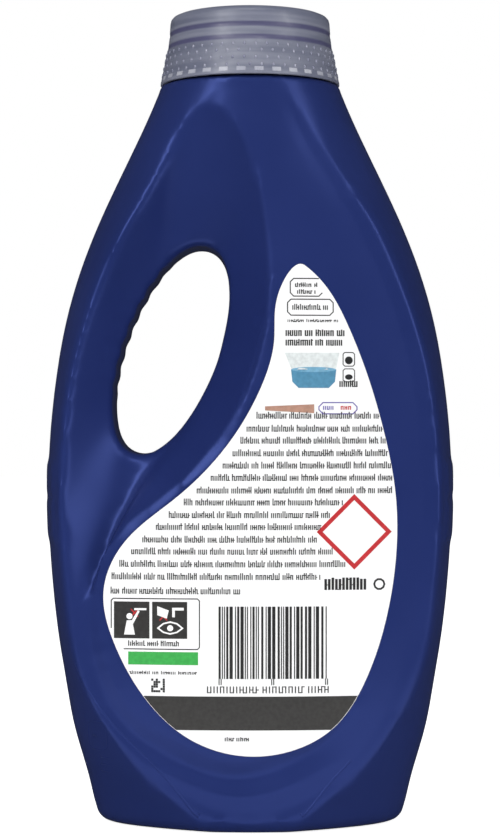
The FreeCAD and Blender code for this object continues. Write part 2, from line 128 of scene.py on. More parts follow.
def new_object(name, mesh):
    """Puts a mesh in the scene at the origin."""
    obj = bpy.data.objects.new(name, mesh)
    bpy.context.collection.objects.link(obj)
    return obj


def finish_piece(obj, material, body, slot, *nodes):
    """Gives a piece its material, its body and the nodes that it stands for."""
    obj.data.materials.clear()
    obj.data.materials.append(material)
    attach(obj, body)
    if nodes:
        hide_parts(*nodes)


# Materials

def plain_material(name, colour, roughness):
    """Principled material with its base colour and roughness on the shader itself."""
    made = bpy.data.materials.new(name)
    made.use_nodes = True
    shader = made.node_tree.nodes["Principled BSDF"]
    shader.inputs["Base Color"].default_value = (*colour, 1)
    shader.inputs["Roughness"].default_value = roughness
    return made, shader


def noise(material, scale, detail=3.0):
    """Noise on object coordinates."""
    tree = material.node_tree
    coordinate = tree.nodes.new("ShaderNodeTexCoord")
    texture = tree.nodes.new("ShaderNodeTexNoise")
    texture.inputs["Scale"].default_value = scale
    texture.inputs["Detail"].default_value = detail
    tree.links.new(coordinate.outputs["Object"], texture.inputs["Vector"])
    return texture


def vary(material, socket, texture, low, high):
    """Drives a shader socket with a texture between two values."""
    tree = material.node_tree
    span = tree.nodes.new("ShaderNodeMapRange")
    span.inputs["From Min"].default_value = 0.3
    span.inputs["From Max"].default_value = 0.7
    span.inputs["To Min"].default_value = low
    span.inputs["To Max"].default_value = high
    tree.links.new(texture.outputs["Fac"], span.inputs["Value"])
    tree.links.new(span.outputs["Result"], socket)


def tint(material, socket, texture, first, second):
    """Mixes two colours by a texture."""
    tree = material.node_tree
    ramp = tree.nodes.new("ShaderNodeValToRGB")
    ramp.color_ramp.elements[0].position = 0.35
    ramp.color_ramp.elements[0].color = (*first, 1)
    ramp.color_ramp.elements[1].position = 0.65
    ramp.color_ramp.elements[1].color = (*second, 1)
    tree.links.new(texture.outputs["Fac"], ramp.inputs["Fac"])
    tree.links.new(ramp.outputs["Color"], socket)


def seam_line(material, shader, half_width, distance):
    """Fine raised parting line in the middle of the depth, under the bump that is there."""
    tree = material.node_tree
    coordinate = tree.nodes.new("ShaderNodeTexCoord")
    split = tree.nodes.new("ShaderNodeSeparateXYZ")
    away = tree.nodes.new("ShaderNodeMath")
    away.operation = "ABSOLUTE"
    ridge = tree.nodes.new("ShaderNodeMapRange")
    ridge.interpolation_type = "SMOOTHSTEP"
    ridge.inputs["From Max"].default_value = half_width
    ridge.inputs["To Min"].default_value = 1.0
    ridge.inputs["To Max"].default_value = 0.0
    bump = tree.nodes.new("ShaderNodeBump")
    bump.inputs["Distance"].default_value = distance
    tree.links.new(coordinate.outputs["Object"], split.inputs["Vector"])
    tree.links.new(split.outputs["Y"], away.inputs[0])
    tree.links.new(away.outputs["Value"], ridge.inputs["Value"])
    tree.links.new(ridge.outputs["Result"], bump.inputs["Height"])
    tree.links.new(shader.inputs["Normal"].links[0].from_socket, bump.inputs["Normal"])
    tree.links.new(bump.outputs["Normal"], shader.inputs["Normal"])


def roughen(material, shader, texture, distance, strength=1.0):
    """Bump from a texture; distance is in metres."""
    tree = material.node_tree
    bump = tree.nodes.new("ShaderNodeBump")
    bump.inputs["Distance"].default_value = distance
    bump.inputs["Strength"].default_value = strength
    tree.links.new(texture.outputs["Fac"], bump.inputs["Height"])
    tree.links.new(bump.outputs["Normal"], shader.inputs["Normal"])


def shell_plastic():
    """Deep blue blow-moulded plastic with a faint orange-peel skin."""
    made, shader = plain_material("navy_shell_plastic", (0.014, 0.026, 0.125), 0.4)
    tint(made, shader.inputs["Base Color"], noise(made, 28, 4), (0.0140, 0.0252, 0.118), (0.0165, 0.0288, 0.131))
    vary(made, shader.inputs["Roughness"], noise(made, 60, 5), 0.28, 0.36)
    roughen(made, shader, noise(made, 420, 2), 0.00002, 0.3)
    shader.inputs["IOR"].default_value = 1.45
    shader.inputs["Specular IOR Level"].default_value = 0.7
    shader.inputs["Specular Tint"].default_value = (0.22, 0.32, 1.0, 1)
    seam_line(made, shader, 0.0004, 0.00015)
    return made


def label_film():
    """White printed film, slightly satin."""
    made, shader = plain_material("white_label_film", (0.86, 0.86, 0.86), 0.45)
    tint(made, shader.inputs["Base Color"], noise(made, 35, 3), (0.87, 0.87, 0.875), (0.90, 0.90, 0.90))
    vary(made, shader.inputs["Roughness"], noise(made, 90, 4), 0.40, 0.52)
    roughen(made, shader, noise(made, 700, 2), 0.00001, 0.3)
    return made


def ink(name, colour):
    """Printing ink with slightly uneven cover."""
    made, shader = plain_material(name, colour, 0.5)
    lighter = tuple(min(1.0, c * 1.18 + 0.004) for c in colour)
    tint(made, shader.inputs["Base Color"], noise(made, 900, 2), colour, lighter)
    vary(made, shader.inputs["Roughness"], noise(made, 400, 2), 0.42, 0.55)
    return made


def cap_plastic():
    """Frosted blue-grey translucent plastic."""
    made, shader = plain_material("frosted_cap_plastic", (0.24, 0.26, 0.34), 0.4)
    tree = made.node_tree
    streaks_and_highlight = noise(made, 40, 5)
    stretch = tree.nodes.new("ShaderNodeMapping")
    stretch.inputs["Scale"].default_value = (0.6, 0.6, 12.0)
    tree.links.new(streaks_and_highlight.inputs["Vector"].links[0].from_socket, stretch.inputs["Vector"])
    tree.links.new(stretch.outputs["Vector"], streaks_and_highlight.inputs["Vector"])
    # Lighter horizontal streaks in the colour are painted highlight; the same streaks also give the moulding's real
    # bump below.
    tint(made, shader.inputs["Base Color"], streaks_and_highlight, (0.175, 0.19, 0.27), (0.27, 0.285, 0.37))
    rings_over(made, shader, (0.105, 0.105, 0.21))
    vary(made, shader.inputs["Roughness"], noise(made, 260, 4), 0.30, 0.48)
    roughen(made, shader, streaks_and_highlight, 0.00012, 0.6)
    shader.inputs["Transmission Weight"].default_value = 0.25
    shader.inputs["IOR"].default_value = 1.49
    return made


def rings_over(material, shader, colour):
    """Two darker rings round the cap's wall, near 235 mm and 239 mm up."""
    tree = material.node_tree
    coordinate = tree.nodes.new("ShaderNodeTexCoord")
    split = tree.nodes.new("ShaderNodeSeparateXYZ")
    tree.links.new(coordinate.outputs["Object"], split.inputs["Vector"])
    ramp = tree.nodes.new("ShaderNodeValToRGB")
    level = tree.nodes.new("ShaderNodeMapRange")
    level.inputs["From Min"].default_value = 0.230
    level.inputs["From Max"].default_value = 0.245
    tree.links.new(split.outputs["Z"], level.inputs["Value"])
    tree.links.new(level.outputs["Result"], ramp.inputs["Fac"])
    marks = ((234.3, 0), (234.8, 1), (235.8, 1), (236.3, 0), (238.2, 0), (238.7, 1), (239.7, 1), (240.2, 0))
    stops = ramp.color_ramp.elements
    while len(stops) < len(marks):
        stops.new(0.5)
    for stop, (z, value) in zip(stops, marks):
        stop.position = (z - 230) / 15
        stop.color = (value, value, value, 1)
    mix = tree.nodes.new("ShaderNodeMix")
    mix.data_type = "RGBA"
    socket = shader.inputs["Base Color"]
    under = socket.links[0].from_socket
    tree.links.new(ramp.outputs["Color"], mix.inputs[0])
    tree.links.new(under, mix.inputs[6])
    mix.inputs[7].default_value = (*colour, 1)
    tree.links.new(mix.outputs[2], socket)


def dot_highlight_plastic():
    """The cap's plastic where it is polished on the grip dots, a little lighter in colour there as painted highlight.
    """
    made, shader = plain_material("cap_dot_highlight_plastic", (0.30, 0.31, 0.38), 0.15)
    tint(made, shader.inputs["Base Color"], noise(made, 200, 2), (0.20, 0.21, 0.29), (0.30, 0.31, 0.39))
    vary(made, shader.inputs["Roughness"], noise(made, 500, 2), 0.10, 0.22)
    return made


def lug_plastic():
    """The cap's plastic where the lugs thicken it and it looks paler."""
    made, shader = plain_material("cap_lug_plastic", (0.52, 0.53, 0.58), 0.35)
    tint(made, shader.inputs["Base Color"], noise(made, 120, 2), (0.32, 0.33, 0.40), (0.46, 0.47, 0.53))
    vary(made, shader.inputs["Roughness"], noise(made, 300, 2), 0.30, 0.42)
    return made


def spout_plastic():
    """Pale translucent blue plastic of the pouring spout."""
    made, shader = plain_material("pale_spout_plastic", (0.35, 0.42, 0.62), 0.38)
    tint(made, shader.inputs["Base Color"], noise(made, 50, 4), (0.33, 0.40, 0.60), (0.39, 0.46, 0.66))
    vary(made, shader.inputs["Roughness"], noise(made, 150, 4), 0.32, 0.45)
    roughen(made, shader, noise(made, 900, 2), 0.00002, 0.3)
    return made


# Bottle

def split_skins(shell):
    """Takes the flat mouth ring away, which leaves the outer skin and the inner skin."""
    only(shell)
    mesh = shell.data
    bpy.ops.object.mode_set(mode="EDIT")
    bpy.ops.mesh.select_all(action="DESELECT")
    bpy.ops.mesh.select_mode(type="FACE")
    bpy.ops.object.mode_set(mode="OBJECT")
    top = NECK_TOP * MM - 1e-6
    for face in mesh.polygons:
        face.select = all(mesh.vertices[v].co.z > top for v in face.vertices)
    bpy.ops.object.mode_set(mode="EDIT")
    bpy.ops.mesh.delete(type="FACE")
    bpy.ops.mesh.separate(type="LOOSE")
    bpy.ops.object.mode_set(mode="OBJECT")
    skins = sorted(bpy.context.selected_objects, key=lambda o: len(o.data.vertices) and max(v.co.x for v in o.data.vertices))
    inner, outer = skins[-2], skins[-1]
    return outer, inner


def close_mouth(skin):
    """Fills the open mouth so that the skin is a closed form."""
    only(skin)
    bpy.ops.object.mode_set(mode="EDIT")
    bpy.ops.mesh.select_mode(type="EDGE")
    bpy.ops.mesh.select_all(action="DESELECT")
    bpy.ops.mesh.select_non_manifold()
    bpy.ops.mesh.edge_face_add()
    bpy.ops.object.mode_set(mode="OBJECT")


def soften(skin, cell):
    """Even cells and rounded creases, as blow moulding leaves them, but a crisp shoulder edge."""
    skin.data.remesh_voxel_size = cell * MM
    skin.data.remesh_voxel_adaptivity = 0
    skin.data.use_remesh_preserve_volume = False
    skin.data.use_remesh_preserve_attributes = False
    skin.data.use_remesh_fix_poles = False
    only(skin)
    bpy.ops.object.voxel_remesh()
    soft = skin.vertex_groups.new(name="soft")
    for vertex in skin.data.vertices:
        height = vertex.co.z / MM
        soft.add([vertex.index], min(1.0, max(0.0, (CRISP_FROM - height) / CRISP_FADE)), "REPLACE")
    rounds = round(SOFT_REACH / cell ** 2)
    modify(skin, "SMOOTH", factor=0.5, iterations=rounds, vertex_group="soft")
    skin.vertex_groups.clear()


def round_lips(skin):
    """Rounds the lips that are still sharp, away from the label."""
    mesh = skin.data
    faces_at = {}
    for face in mesh.polygons:
        for key in face.edge_keys:
            faces_at.setdefault(key, []).append(face.normal)
    sharp = set()
    for key, normals in faces_at.items():
        if len(normals) == 2 and normals[0].angle(normals[1], 0.0) > math.radians(22):
            sharp.update(key)
    for _ in range(4):
        near = set(sharp)
        for first, second in faces_at:
            if first in sharp or second in sharp:
                near.update((first, second))
        sharp = near
    group = skin.vertex_groups.new(name="lips")
    for number in sharp:
        place = mesh.vertices[number].co
        if place.z < CRISP_FROM * MM and not beside_label(place):
            group.add([number], 1.0, "REPLACE")
    modify(skin, "SMOOTH", factor=0.5, iterations=24, vertex_group="lips")
    skin.vertex_groups.clear()


def beside_label(place):
    """Whether a place on the front lies under the label or within a few millimetres of it."""
    if place.y > -0.01:
        return False
    reach = 4 * MM
    around = ((0, 0), (reach, 0), (-reach, 0), (0, reach), (0, -reach))
    return any(label_front(place.x + x, place.z + z) is not None for x, z in around)


def ripple_grip(skin):
    """Shallow finger ripples down the left wall of the hand hole."""
    lean = math.radians(GRIP_LEAN)
    along = Vector((math.sin(lean), 0, math.cos(lean)))
    across = Vector((math.cos(lean), 0, -math.sin(lean)))
    middle = Vector((GRIP_X, 0, GRIP_Z)) * MM
    normals = [vertex.normal.copy() for vertex in skin.data.vertices]
    for vertex, normal in zip(skin.data.vertices, normals):
        offset = (vertex.co - middle) / MM
        up, side = offset.dot(along), offset.dot(across)
        if side > 0 or abs(up - 3) > 24:
            continue
        if math.hypot(up / GRIP_HALF_HEIGHT, side / GRIP_HALF_WIDTH) > 1.25:
            continue
        facing = max(0.0, normal.dot(across))
        fade = min(1.0, (24 - abs(up - 3)) / 5)
        vertex.co += across * (0.22 * MM * facing * fade * math.cos(2 * math.pi * up / 6.2))


def panel_edge():
    """Stations along the panel's edge: place, way outward, bevel width, distance to the crest, fade."""
    last = len(PANEL_EDGE) - 1
    line = []
    for number in range(last):
        a, b, c, d = [Vector(PANEL_EDGE[min(max(number + k, 0), last)]) for k in (-1, 0, 1, 2)]
        for step in range(12):
            t = step / 12
            line.append((b * 2 + (c - a) * t + (a * 2 - b * 5 + c * 4 - d) * t * t
                         + (b * 3 - a - c * 3 + d) * t * t * t) / 2)
    stations = []
    for number, place in enumerate(line):
        before, after = line[max(number - 1, 0)], line[min(number + 1, len(line) - 1)]
        along = (after.xy - before.xy).normalized()
        fade = min(1.0, number / 14, (len(line) - 1 - number) / 14)
        stations.append((place.xy.copy(), Vector((along.y, -along.x)), place.z, place.w, fade))
    return stations


def skin_tree(skin):
    """Ray-cast tree of a skin as it is now."""
    return BVHTree.FromPolygons([v.co.copy() for v in skin.data.vertices], [tuple(p.vertices) for p in skin.data.polygons])


def depth_at(tree, x, z, side):
    """How far a skin stands out at a place, in millimetres, on the front (-1) or the back (1)."""
    hit = tree.ray_cast(Vector((x * MM, side * 0.1, z * MM)), Vector((0, -side, 0)))
    return 0.0 if hit[0] is None else side * hit[0].y / MM


def cut_bevel(skin, side):
    """Evens the panel out to its edge and cuts the bevel and the valley beyond it."""
    tree = skin_tree(skin)
    stations = panel_edge()
    finder = KDTree(len(stations))
    for number, station in enumerate(stations):
        finder.insert((station[0].x, station[0].y, 0), number)
    finder.balance()
    levels = {}
    moved = []
    facing = [side * vertex.normal.y for vertex in skin.data.vertices]
    for vertex, turned in zip(skin.data.vertices, facing):
        depth = side * vertex.co.y / MM
        if depth < 8 or turned < 0.15:
            continue
        spot = Vector((vertex.co.x, vertex.co.z)) / MM
        _, number, far = finder.find((spot.x, spot.y, 0))
        place, outward, width, reach, fade = stations[number]
        if far > reach + 2:
            continue
        away = (spot - place).dot(outward)
        if abs((spot - place).dot(Vector((-outward.y, outward.x)))) > 3:
            continue
        if number not in levels:
            levels[number] = [depth_at(tree, *(place + outward * d), side) for d in (0.6, -reach - 1.5, reach)]
        edge, inner, crest = levels[number]
        if away < 0:
            level = max(depth, edge + (inner - edge) * -away / (reach + 1.5))
        elif away < width:
            level = min(depth, edge - BEVEL_SLOPE * away * fade)
        elif away < reach:
            foot = edge - BEVEL_SLOPE * width * fade
            level = min(depth, foot + (crest - foot) * (away - width) / (reach - width))
        else:
            continue
        if abs(level - depth) > 0.01:
            vertex.co.y = side * level * MM
            moved.append(vertex.index)
    group = skin.vertex_groups.new(name="bevel")
    group.add(moved, 1.0, "REPLACE")
    modify(skin, "SMOOTH", factor=0.5, iterations=3, vertex_group="bevel")
    skin.vertex_groups.clear()


def follow(inner, before, after, side):
    """Moves the inner skin as far as the outer one was moved."""
    for vertex in inner.data.vertices:
        if side * vertex.co.y < 6 * MM or vertex.co.z > 0.16:
            continue
        x, z = vertex.co.x / MM, vertex.co.z / MM
        change = depth_at(after, x, z, side) - depth_at(before, x, z, side)
        if abs(change) < 3.5:
            vertex.co.y += side * change * MM


def trim_mouth(skin, level):
    """Cuts the skin open again at a level."""
    only(skin)
    bpy.ops.object.mode_set(mode="EDIT")
    bpy.ops.mesh.select_all(action="SELECT")
    bpy.ops.mesh.bisect(plane_co=(0, 0, level * MM), plane_no=(0, 0, 1), clear_outer=True)
    bpy.ops.object.mode_set(mode="OBJECT")


def label_reach():
    """Ray-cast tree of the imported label."""
    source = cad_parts["back_label"]
    mesh = source.data
    matrix = source.matrix_world
    places = [matrix @ v.co for v in mesh.vertices]
    return BVHTree.FromPolygons(places, [tuple(p.vertices) for p in mesh.polygons])


LABEL_TREE = label_reach()


def label_front(x, z):
    """Y of the label's face in front of a place, in metres, or None beside the label."""
    hit = LABEL_TREE.ray_cast(Vector((x, -0.1, z)), Vector((0, 1, 0)))
    return None if hit[0] is None else hit[0].y


def seat_label(skin):
    """Lets the label's panel lie a little deeper, so that the film stands clear on it."""
    for vertex in skin.data.vertices:
        front = label_front(vertex.co.x, vertex.co.z) if vertex.co.y < -0.015 else None
        if front is not None:
            vertex.co.y = max(vertex.co.y, front + PANEL_SINK * MM)


def make_shell():
    """The blue bottle."""
    shell = copy_of("bottle", "bottle_shell")
    outer, inner = split_skins(shell)
    close_mouth(outer)
    close_mouth(inner)
    soften(outer, OUTER_CELL)
    soften(inner, INNER_CELL)
    modify(inner, "DECIMATE", ratio=INNER_SHARE)
    round_lips(outer)
    ripple_grip(outer)
    for side in (-1, 1):
        before = skin_tree(outer)
        cut_bevel(outer, side)
        follow(inner, before, skin_tree(outer), side)
    seat_label(outer)
    trim_mouth(outer, NECK_TOP - 0.4)
    trim_mouth(inner, NECK_TOP - 0.4)
    only(outer)
    inner.select_set(True)
    bpy.ops.object.join()
    bpy.ops.object.mode_set(mode="EDIT")
    bpy.ops.mesh.select_mode(type="EDGE")
    bpy.ops.mesh.select_all(action="DESELECT")
    bpy.ops.mesh.select_non_manifold()
    bpy.ops.mesh.bridge_edge_loops()
    bpy.ops.mesh.select_all(action="SELECT")
    bpy.ops.mesh.normals_make_consistent(inside=False)
    bpy.ops.object.mode_set(mode="OBJECT")
    outer.name = "bottle_shell"
    shade_round(outer, 60)
    return outer


# Label and print

class Sheet:
    """Flat print shapes in x and z, as quads, kept until they are laid on the label."""

    def __init__(self):
        self.places = []
        self.faces = []

    def quad(self, corners, columns=1, rows=1):
        """Four-cornered patch: foot left, foot right, top right, top left."""
        first = len(self.places)
        a, b, c, d = [Vector(p) for p in corners]
        for row in range(rows + 1):
            low = a.lerp(d, row / rows)
            high = b.lerp(c, row / rows)
            for column in range(columns + 1):
                self.places.append(low.lerp(high, column / columns))
        wide = columns + 1
        for row in range(rows):
            for column in range(columns):
                at = first + row * wide + column
                self.faces.append((at, at + 1, at + wide + 1, at + wide))

    def block(self, left, foot, right, top):
        """Upright rectangle, split where it is long."""
        columns = max(1, round((right - left) / 3))
        rows = max(1, round((top - foot) / 3))
        self.quad([(left, foot), (right, foot), (right, top), (left, top)], columns, rows)

    def band(self, points, width):
        """Closed line of a given width round some points, listed anticlockwise."""
        middle = sum((Vector(p) for p in points), Vector((0, 0))) / len(points)
        outer, inner = [], []
        for number, point in enumerate(points):
            before = Vector(points[number - 1])
            after = Vector(points[(number + 1) % len(points)])
            point = Vector(point)
            one = (point - before).normalized()
            two = (after - point).normalized()
            side = Vector((one.y + two.y, -one.x - two.x)).normalized()
            reach = width / 2 / max(0.5, side.dot(Vector((one.y, -one.x))))
            outer.append(point + side * reach)
            inner.append(point - side * reach)
        for number in range(len(points)):
            after = (number + 1) % len(points)
            length = (outer[after] - outer[number]).length
            corners = [outer[number], outer[after], inner[after], inner[number]]
            self.quad(corners, max(1, round(length / 3)), 1)

    def frame(self, left, foot, right, top, width, corner=0.0):
        """Rectangular line with cut corners."""
        c = corner
        self.band([
            (left + c, foot), (right - c, foot), (right, foot + c), (right, top - c),
            (right - c, top), (left + c, top), (left, top - c), (left, foot + c),
        ], width)

    def disc(self, x, z, radius, stretch=1.0):
        """Round spot, drawn as level strips."""
        strips = 8
        for number in range(strips):
            low = math.pi * (number / strips - 0.5)
            high = math.pi * ((number + 1) / strips - 0.5)
            wide_low, wide_high = radius * stretch * math.cos(low), radius * stretch * math.cos(high)
            foot, top = z + radius * math.sin(low), z + radius * math.sin(high)
            self.quad([(x - wide_low, foot), (x + wide_low, foot), (x + wide_high, top), (x - wide_high, top)], 2, 1)

    def cross(self, x, z, reach, width):
        """Two crossed diagonal strokes."""
        for lean in (1, -1):
            half = width / 2
            self.quad([(x - reach, z - lean * reach - half), (x + reach, z + lean * reach - half),
                       (x + reach, z + lean * reach + half), (x - reach, z - lean * reach + half)])

    def ticks(self, left, right, foot, rng, tall=2.0, small=1.45, pitch=0.56, stroke=0.30):
        """A line of small print: groups of short and tall strokes."""
        x = left
        while x < right - stroke:
            letters = rng.randint(4, 17)
            for _ in range(letters):
                if x > right - stroke:
                    break
                height = tall if rng.random() < 0.25 else small
                self.quad([(x, foot), (x + stroke, foot), (x + stroke, foot + height), (x, foot + height)])
                if rng.random() < 0.5 and x + pitch + stroke < right:
                    level = foot + rng.choice((0.0, small * 0.42, small - 0.28))
                    self.quad([(x + stroke, level), (x + pitch, level), (x + pitch, level + 0.26), (x + stroke, level + 0.26)])
                x += pitch
            x += pitch * 1.1

    def lay(self, name, material):
        """Lays the shapes on the label's face as one thin closed piece."""
        places, keep = [], []
        for place in self.places:
            y = label_front(place.x * MM, place.y * MM)
            keep.append(y is not None)
            places.append((place.x * MM, (y or 0) - INK_RISE * MM + LABEL_SINK * MM, place.y * MM))
        faces = [f for f in self.faces if all(keep[v] for v in f)]
        mesh = bpy.data.meshes.new(name)
        mesh.from_pydata(places, [], faces)
        piece = new_object(name, mesh)
        only(piece)
        bpy.ops.object.mode_set(mode="EDIT")
        bpy.ops.mesh.select_all(action="SELECT")
        bpy.ops.mesh.delete_loose()
        bpy.ops.object.mode_set(mode="OBJECT")
        modify(piece, "SOLIDIFY", thickness=INK_THICKNESS * MM, offset=-1)
        finish_piece(piece, material, "bottle", "label_film")
        return piece


def make_label():
    """The white film on the front panel."""
    film = copy_of("back_label", "label_film")
    for vertex in film.data.vertices:
        vertex.co.y += LABEL_SINK * MM
    shade_round(film, 40)
    finish_piece(film, label_film(), "bottle", "label_film", "back_label")
    return film


def reach_of_row(z, margin):
    """Left and right edge of the label at a level, in millimetres."""
    inside = [x for x in range(-60, 61) if label_front(x * MM, z * MM) is not None]
    ends = []
    for start, step in ((inside[0], -1), (inside[-1], 1)):
        near, far = float(start), float(start + step)
        for _ in range(12):
            middle = (near + far) / 2
            if label_front(middle * MM, z * MM) is None:
                far = middle
            else:
                near = middle
        ends.append(near)
    return ends[0] + margin, ends[1] - margin


def dark_band(sheet, foot, top):
    """Broad dark band from edge to edge."""
    rows = 5
    levels = [foot + (top - foot) * n / rows for n in range(rows + 1)]
    ends = [reach_of_row(z, 0.15) for z in levels]
    for number in range(rows):
        low, high = ends[number], ends[number + 1]
        corners = [(low[0], levels[number]), (low[1], levels[number]),
                   (high[1], levels[number + 1]), (high[0], levels[number + 1])]
        sheet.quad(corners, 26, 1)


def make_print():
    """Black print: lines of small marks, frames, bars and the band."""
    rng = random.Random(7)
    black = Sheet()
    # Two outlined boxes at the top, with marks in them
    black.frame(11.8, 158.5, 21.2, 163.7, 0.3, 1.0)
    black.ticks(13.2, 19.8, 161.2, rng, 1.3, 1.0)
    black.ticks(13.8, 19.2, 159.2, rng, 1.3, 1.0)
    black.frame(11.0, 152.9, 24.4, 157.6, 0.3, 1.0)
    black.ticks(12.4, 23.2, 154.5, rng, 1.7, 1.3)
    black.ticks(11.0, 26.0, 150.9, rng, 0.9, 0.7, 0.5, 0.22)
    # Two heavier short lines
    black.ticks(10.4, 27.8, 146.8, rng, 1.9, 1.7, 0.62, 0.40)
    black.ticks(10.4, 27.2, 144.0, rng, 1.9, 1.7, 0.62, 0.40)
    # Small icons beside the cup
    black.frame(27.3, 138.0, 30.7, 142.0, 0.25, 0.5)
    black.disc(29.0, 139.7, 1.15)
    black.frame(27.3, 133.4, 30.7, 137.2, 0.25, 0.5)
    black.disc(29.0, 134.8, 0.8, 1.4)
    black.ticks(26.2, 31.6, 131.9, rng, 1.9, 1.7, 0.62, 0.40)
    # Lines of small print, edge to edge of the label
    rows = [
        (1.9, 39.0, 122.6), (-1.0, 39.9, 118.8), (-2.8, 41.0, 115.3), (-5.1, 41.4, 111.6), (-8.0, 41.7, 108.0),
        (-11.5, 42.0, 104.4), (-15.6, 42.2, 100.7), (-19.4, 27.6, 97.2), (-23.8, 23.4, 93.5), (-27.6, 21.3, 90.0),
        (-31.6, 20.0, 86.3), (-34.9, 24.4, 82.8), (-38.4, 28.0, 79.1), (-40.7, 21.0, 75.4), (-41.0, -2.8, 71.2),
    ]
    for left, right, foot in rows:
        black.ticks(left, right, foot, rng)
    # Heavier marks of the quantity
    black.ticks(21.8, 35.0, 72.4, rng, 3.6, 3.2, 1.05, 0.75)
    black.band([(38.0 + 1.5 * math.cos(t), 74.0 + 1.5 * math.sin(t)) for t in [n * math.pi / 5 for n in range(10)]], 0.55)
    # Framed pair of dark squares
    black.frame(-40.8, 55.0, -14.8, 69.8, 0.3, 0.6)
    black.ticks(-35.8, -20.6, 55.9, rng, 1.6, 1.2)
    # Small square code and the bar code
    for row in range(6):
        for column in range(6):
            if rng.random() < 0.6 or row in (0, 5) and column in (0, 5):
                x, z = -29.0 + 0.68 * column, 42.3 + 0.68 * row
                black.block(x, z, x + 0.62, z + 0.62)
    x = -9.2
    while x < 22.4:
        width = rng.choice((0.32, 0.32, 0.64, 0.96))
        black.block(x, 46.4, x + width, 67.6)
        x += width + rng.choice((0.32, 0.32, 0.64))
    for x in (-9.2, 6.2, 22.0):
        black.block(x, 44.6, x + 0.3, 46.4)
        black.block(x + 0.6, 44.6, x + 0.9, 46.4)
    black.ticks(-12.6, 23.2, 42.2, rng, 2.0, 2.0, 0.95, 0.34)
    black.ticks(-36.2, -15.0, 47.6, rng, 1.0, 0.8, 0.5, 0.24)
    black.ticks(-7.4, 0.0, 28.0, rng, 1.2, 1.0)
    black.lay("print_black", ink("black_ink", (0.012, 0.012, 0.013)))

    dark = Sheet()
    dark_band(dark, 31.2, 41.2)
    dark.block(-40.0, 58.1, -29.5, 68.9)
    dark.block(-28.7, 58.1, -18.4, 68.9)
    dark.lay("print_dark_grey", ink("dark_grey_ink", (0.024, 0.023, 0.022)))

    white = Sheet()
    # Pale figures inside the dark squares
    white.disc(-35.4, 64.6, 0.9)
    white.quad([(-37.0, 59.2), (-33.8, 59.2), (-34.6, 63.4), (-36.2, 63.4)], 1, 1)
    white.quad([(-34.4, 62.2), (-32.4, 66.0), (-32.9, 66.4), (-35.0, 62.9)])
    white.block(-34.0, 66.4, -30.4, 67.0)
    white.band([(-27.0, 61.2), (-25.4, 60.0), (-23.4, 59.5), (-21.4, 60.0), (-19.8, 61.2),
                (-21.4, 62.5), (-23.4, 63.0), (-25.4, 62.5)], 0.45)
    white.disc(-23.4, 61.2, 0.9)
    white.block(-22.8, 66.4, -19.4, 67.2)
    white.block(-22.8, 64.4, -22.0, 66.4)
    white.quad([(-27.2, 65.0), (-24.4, 64.0), (-23.8, 66.4), (-27.2, 67.6)])
    pale = white.lay("print_white", ink("white_ink", (0.82, 0.82, 0.82)))
    lift(pale, 0.03)

    red = Sheet()
    red.band([(30.6, 79.2), (40.8, 89.4), (30.6, 99.6), (20.4, 89.4)], 1.25)
    red.ticks(26.6, 30.2, 125.2, rng, 1.1, 1.1, 0.55, 0.3)
    reds = red.lay("print_red", ink("red_ink", (0.46, 0.012, 0.018)))

    crosses = Sheet()
    crosses.cross(-33.9, 65.6, 1.1, 0.5)
    crosses.cross(-25.4, 64.6, 1.1, 0.5)
    lift(crosses.lay("print_red_crosses", reds.data.materials[0]), 0.02)

    tan = Sheet()
    tan.quad([(4.4, 125.0), (18.8, 124.2), (18.8, 126.8), (4.4, 126.2)], 5, 1)
    tan.lay("print_tan", ink("tan_ink", (0.40, 0.22, 0.16)))

    green = Sheet()
    green.block(-35.8, 50.4, -15.2, 54.2)
    green.lay("print_green", ink("green_ink", (0.03, 0.36, 0.06)))

    cup = Sheet()
    cup.quad([(12.2, 137.0), (25.2, 137.0), (26.2, 141.9), (10.2, 141.9)], 5, 2)
    cup.lay("print_pale_cup", ink("pale_grey_ink", (0.62, 0.66, 0.66)))

    blue = Sheet()
    blue.quad([(12.4, 133.4), (24.9, 133.4), (25.3, 137.0), (12.0, 137.0)], 5, 2)
    blue.quad([(14.2, 131.6), (23.1, 131.6), (24.9, 133.4), (12.4, 133.4)], 5, 1)
    blue.lay("print_blue", ink("blue_ink", (0.065, 0.225, 0.36)))
    surface = Sheet()
    surface.disc(18.65, 137.0, 0.75, 8.8)
    lift(surface.lay("print_light_blue", ink("light_blue_ink", (0.15, 0.35, 0.50))), 0.02)
    violet = Sheet()
    violet.frame(20.2, 124.0, 31.4, 127.3, 0.3, 1.2)
    violet.ticks(21.4, 25.0, 125.2, rng, 1.1, 1.1, 0.55, 0.3)
    violet.lay("print_violet", ink("violet_ink", (0.10, 0.07, 0.34)))


def lift(piece, height):
    """Moves a print that lies over another one out by a hair."""
    for vertex in piece.data.vertices:
        vertex.co.y -= height * MM


def bead(form, tree, points, width, height):
    """Rounded raised line on the front through some points in x and z."""
    spots = [Vector(points[0])]
    for first, second in zip(points, points[1:]):
        first, second = Vector(first), Vector(second)
        steps = max(1, round((second - first).length / 1.2))
        spots += [first.lerp(second, (n + 1) / steps) for n in range(steps)]
    rings = []
    for number, spot in enumerate(spots):
        along = (spots[min(number + 1, len(spots) - 1)] - spots[max(number - 1, 0)]).normalized()
        side = Vector((along.y, -along.x)) * width / 2
        ring = []
        for shift, rise in ((-1, -0.1), (-0.5, height * 0.8), (0, height), (0.5, height * 0.8), (1, -0.1), (0, -0.5)):
            at = spot + side * shift
            ring.append(form.verts.new((at.x * MM, -(depth_at(tree, at.x, at.y, -1) + rise) * MM, at.y * MM)))
        rings.append(ring)
    for first, second in zip(rings, rings[1:]):
        for corner in range(6):
            after = (corner + 1) % 6
            form.faces.new((first[corner], second[corner], second[after], first[after]))
    form.faces.new(rings[0])
    form.faces.new(reversed(rings[-1]))


